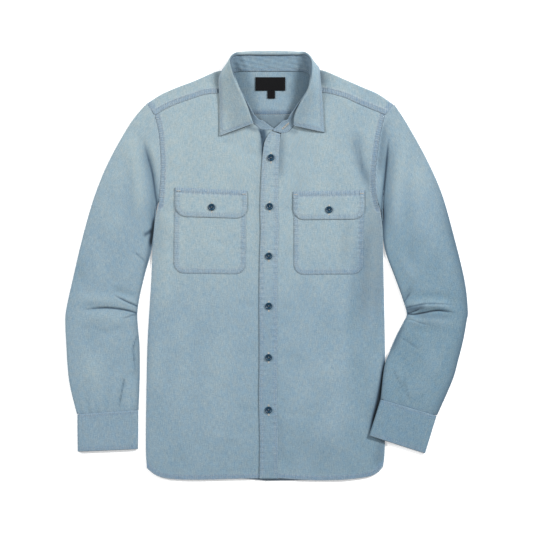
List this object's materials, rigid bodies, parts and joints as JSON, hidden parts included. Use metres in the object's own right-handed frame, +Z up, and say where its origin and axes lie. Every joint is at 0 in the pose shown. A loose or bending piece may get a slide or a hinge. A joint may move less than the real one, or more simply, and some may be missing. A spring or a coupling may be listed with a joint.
{
  "type": "work shirt",
  "caption": "Long-sleeved chambray work shirt laid flat, front up, with a turned-down collar, a front placket, flapped chest pockets and buttoned cuffs.",
  "frame": {"origin": "on the table plane, under the middle of the shirt's bounding box", "axes": "+Z up from the table, +Y from the hem to the collar, +X towards the wearer's left sleeve"},
  "size_m": [0.724, 0.7744, 0.0288],
  "materials": {
    "chambray": "washed plain weave, matte",
    "button_resin": "polished dark blue",
    "label_tape": "woven black tape, matte"
  },
  "bodies": {
    "root": {"back_panel": "chambray", "yoke": "chambray", "front_right": "chambray", "front_left": "chambray", "placket": "chambray", "collar_stand": "chambray", "collar_leaf": "chambray", "sleeve_right": "chambray", "sleeve_left": "chambray", "cuff_right": "chambray", "cuff_left": "chambray", "pocket_right": "chambray", "pocket_left": "chambray", "pocket_flap_right": "chambray", "pocket_flap_left": "chambray", "button_front_1": "button_resin", "button_front_2": "button_resin", "button_front_3": "button_resin", "button_front_4": "button_resin", "button_front_5": "button_resin", "button_front_6": "button_resin", "button_flap_right": "button_resin", "button_flap_left": "button_resin", "button_collar": "button_resin", "neck_label": "label_tape", "size_tab": "label_tape"}
  },
  "joints": []
}
